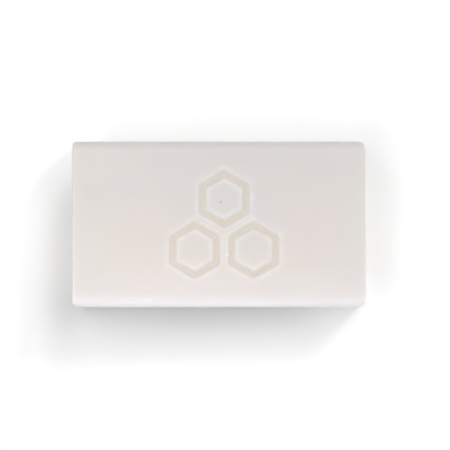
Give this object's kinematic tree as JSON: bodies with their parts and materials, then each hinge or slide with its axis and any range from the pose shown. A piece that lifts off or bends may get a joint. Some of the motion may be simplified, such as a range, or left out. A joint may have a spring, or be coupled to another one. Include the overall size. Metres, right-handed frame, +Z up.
{
  "type": "bar of soap",
  "caption": "Oblong bar of hard white soap with softly rolled long edges, square-cut ends and a small pressed honeycomb stamp in its face.",
  "frame": {"origin": "middle of the underside, where the bar rests", "axes": "+X along the bar, +Y across it, +Z up through the stamped face"},
  "size_m": [0.085, 0.048, 0.025],
  "materials": {
    "soap": "satin"
  },
  "bodies": {
    "root": {"soap_bar": "soap"}
  },
  "joints": []
}
